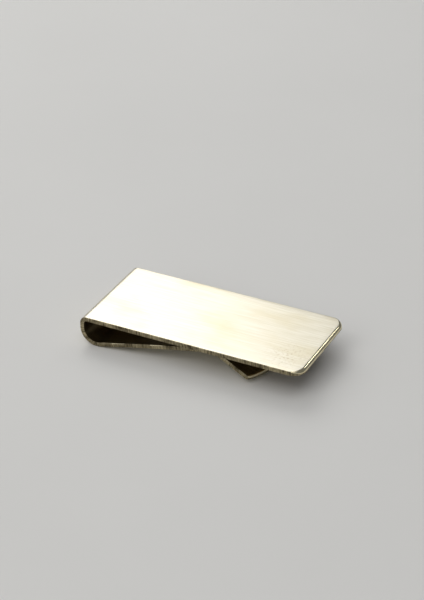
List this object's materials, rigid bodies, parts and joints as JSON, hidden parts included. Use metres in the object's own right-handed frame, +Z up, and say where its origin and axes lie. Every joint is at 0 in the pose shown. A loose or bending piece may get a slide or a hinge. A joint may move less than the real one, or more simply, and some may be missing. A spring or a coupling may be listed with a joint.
{
  "type": "money clip",
  "caption": "Flat spring clip bent from one brass strip: a brushed face plate, a round fold and a narrowing leg with a flared lip that grips folded notes.",
  "frame": {"origin": "middle of the clip's base, on the surface it lies on, under the centre of its bounding box", "axes": "+X along the strip towards the free end of the face plate, +Y across the strip, +Z up through the face plate"},
  "size_m": [0.0524, 0.024, 0.0067],
  "materials": {
    "brushed_brass": "fine lines brushed along the strip, satin",
    "bare_brass": "as rolled, lightly brushed along the strip"
  },
  "bodies": {
    "leg": {"heel_bend": "brushed_brass", "spring_leg": "bare_brass", "grip_crest": "bare_brass", "lead_in_lip": "bare_brass"},
    "face": {"face_plate": "brushed_brass", "upper_bend": "brushed_brass", "fold_web": "brushed_brass"}
  },
  "joints": [
    {"name": "fold_flex", "type": "hinge", "parent": "leg", "child": "face", "pos_m": [-0.02417, 0, 0.00162], "axis": [0, -1, 0], "range_deg": [0, 6], "stiffness_Nm_per_rad": 0.4, "springref_deg": -20.05, "deforming": ["heel_bend"]}
  ]
}
